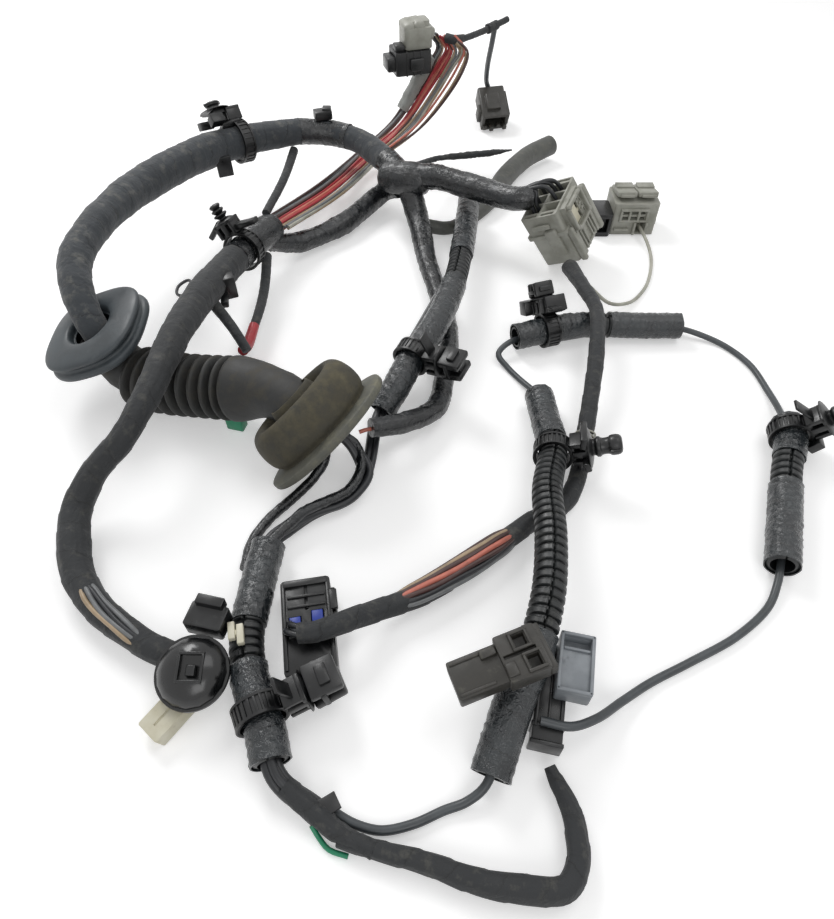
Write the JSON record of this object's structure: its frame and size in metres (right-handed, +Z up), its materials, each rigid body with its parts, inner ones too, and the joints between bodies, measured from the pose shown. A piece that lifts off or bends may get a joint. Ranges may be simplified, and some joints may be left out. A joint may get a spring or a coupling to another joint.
{
  "type": "wiring harness",
  "caption": "Vehicle wiring harness: taped trunks, ribbed conduits, a rubber bellows boot, plugs, sockets, band clips and loose leads, laid flat.",
  "frame": {"origin": "middle of the harness as it lies, without its loose leads, on the surface below it", "axes": "+Z up from the surface; +Y from the picture's viewer to the far end with the top plug, which is the longest extent; +X to the viewer's right"},
  "size_m": [0.3892, 0.5737, 0.0963],
  "materials": {
    "cloth_tape": "matt woven adhesive tape",
    "vinyl_tape": "glossy wrapped tape",
    "conduit_plastic": "satin ribbed",
    "boot_rubber": "dusty matt",
    "black_plastic": "satin black",
    "grey_plastic": "matt moulded grey",
    "dark_plastic": "matt dark grey",
    "white_plastic": "natural off-white",
    "blue_plastic": "matt blue",
    "grey_jacket": "smooth round jacket",
    "white_jacket": "smooth round jacket",
    "green_jacket": "smooth round jacket",
    "brown_jacket": "thin wire insulation",
    "grey_wire": "thin wire insulation",
    "red_jacket": "thin wire insulation",
    "salmon_jacket": "thin wire insulation",
    "beige_jacket": "thin wire insulation"
  },
  "bodies": {
    "root": {"trunk_left": "cloth_tape", "trunk_upper": "cloth_tape", "cross_branch": "cloth_tape", "lamp_branch": "cloth_tape", "spur_branch_upper": "cloth_tape", "spur_branch_lower": "cloth_tape", "spur_branch_side": "cloth_tape", "junction_wrap_left": "vinyl_tape", "junction_wrap_centre": "vinyl_tape", "return_branch": "vinyl_tape", "centre_branch": "vinyl_tape", "connector_branch": "vinyl_tape", "boot_lead_1": "vinyl_tape", "boot_lead_2": "vinyl_tape", "conduit_centre": "conduit_plastic", "conduit_lower": "conduit_plastic", "conduit_long": "conduit_plastic", "conduit_upper": "conduit_plastic", "conduit_right": "conduit_plastic", "boot": "boot_rubber", "pair_socket": "black_plastic", "lock_connector": "black_plastic", "long_socket": "black_plastic", "dome_plug": "black_plastic", "dome_socket": "black_plastic", "clip_centre": "black_plastic", "clip_lower": "black_plastic", "clip_long": "black_plastic", "clip_upper": "black_plastic", "clip_right": "black_plastic", "clip_trunk": "black_plastic", "clip_junction": "black_plastic", "grid_connector": "grey_plastic", "pair_connector": "grey_plastic", "socket_cover": "grey_plastic", "top_connector_hood": "grey_plastic", "side_plug": "dark_plastic", "top_connector": "dark_plastic", "drop_connector": "dark_plastic", "conduit_stub": "dark_plastic", "grid_connector_retainer": "white_plastic", "white_connector": "white_plastic", "white_terminals": "white_plastic", "blue_lock_1": "blue_plastic", "blue_lock_2": "blue_plastic", "sensor_lead": "grey_jacket", "top_branch": "grey_jacket", "top_lead": "grey_jacket", "white_lead": "white_jacket", "green_wire": "green_jacket", "open_wire_1": "brown_jacket", "open_wire_2": "grey_wire", "open_wire_6": "grey_wire", "conduit_bundle": "grey_wire", "open_wire_3": "red_jacket", "open_wire_4": "salmon_jacket", "open_wire_5": "beige_jacket"}
  },
  "joints": []
}
